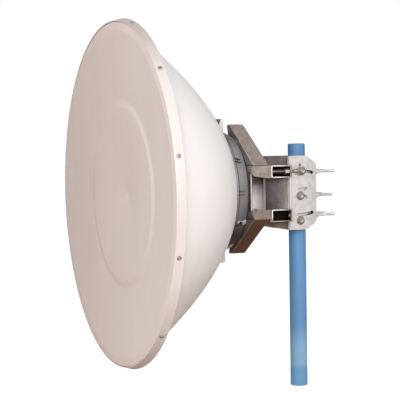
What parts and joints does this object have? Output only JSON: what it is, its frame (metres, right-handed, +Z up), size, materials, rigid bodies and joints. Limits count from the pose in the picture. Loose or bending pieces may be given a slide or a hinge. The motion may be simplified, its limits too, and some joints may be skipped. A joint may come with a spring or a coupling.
{
  "type": "parabolic dish antenna",
  "caption": "Point-to-point microwave dish with a shallow sunken radome, on a tilting cast yoke whose bolted bracket clamps to a short blue tube mast and turns about it.",
  "frame": {"origin": "centre of the mast's foot, on its flat end plate", "axes": "+Z up the mast; -Y the way the dish looks; +X the side with the tilt screw"},
  "size_m": [0.926, 0.648, 1.02],
  "materials": {
    "white_paint": "satin white paint on spun metal",
    "radome_plastic": "matt beige moulded plastic",
    "hub_casting": "dull grey cast metal",
    "dark_casting": "dark mottled cast metal",
    "bright_casting": "bright mottled cast metal",
    "bolt_steel": "plain steel",
    "blue_paint": "satin blue paint"
  },
  "bodies": {
    "mast": {"mast_tube": "blue_paint", "mast_foot_plate": "blue_paint", "mast_cap": "blue_paint"},
    "bracket": {"pole_saddle": "bright_casting", "pole_clamp": "bright_casting", "stud_near_top": "bolt_steel", "stud_near_middle": "bolt_steel", "stud_near_bottom": "bolt_steel", "stud_far_top": "bolt_steel", "stud_far_middle": "bolt_steel", "stud_far_bottom": "bolt_steel", "cheek_bolt_near_pivot": "bolt_steel", "cheek_bolt_near_middle": "bolt_steel", "cheek_bolt_near_top": "bolt_steel", "cheek_bolt_far_pivot": "bolt_steel", "cheek_bolt_far_middle": "bolt_steel", "cheek_bolt_far_top": "bolt_steel"},
    "dish": {"radome": "radome_plastic", "rim_band": "white_paint", "reflector": "white_paint", "hub_ring": "hub_casting", "hub_plate": "hub_casting", "waveguide_port": "bright_casting", "yoke_arm_upper": "dark_casting", "yoke_arm_lower": "dark_casting", "yoke_plate": "bright_casting", "yoke_side_near": "dark_casting", "yoke_side_far": "dark_casting", "cheek_near": "bright_casting", "cheek_far": "bright_casting", "tilt_nut": "bolt_steel"},
    "tilt_screw": {"tilt_spindle": "bolt_steel"}
  },
  "joints": [
    {"name": "azimuth_turn", "type": "hinge", "parent": "mast", "child": "bracket", "pos_m": [0, 0, 0.557], "axis": [0, 0, 1], "continuous": true},
    {"name": "elevation_tilt", "type": "hinge", "parent": "bracket", "child": "dish", "pos_m": [0, -0.02, 0.4705], "axis": [-1, 0, 0], "range_deg": [-15, 2]},
    {"name": "tilt_screw_swing", "type": "hinge", "parent": "bracket", "child": "tilt_screw", "pos_m": [0, -0.02, 0.608], "axis": [-1, 0, 0], "range_deg": [-11.55, 1.54]}
  ],
  "couplings": [
    {"joint": "tilt_screw_swing", "follows": "elevation_tilt", "ratio": 0.77}
  ]
}
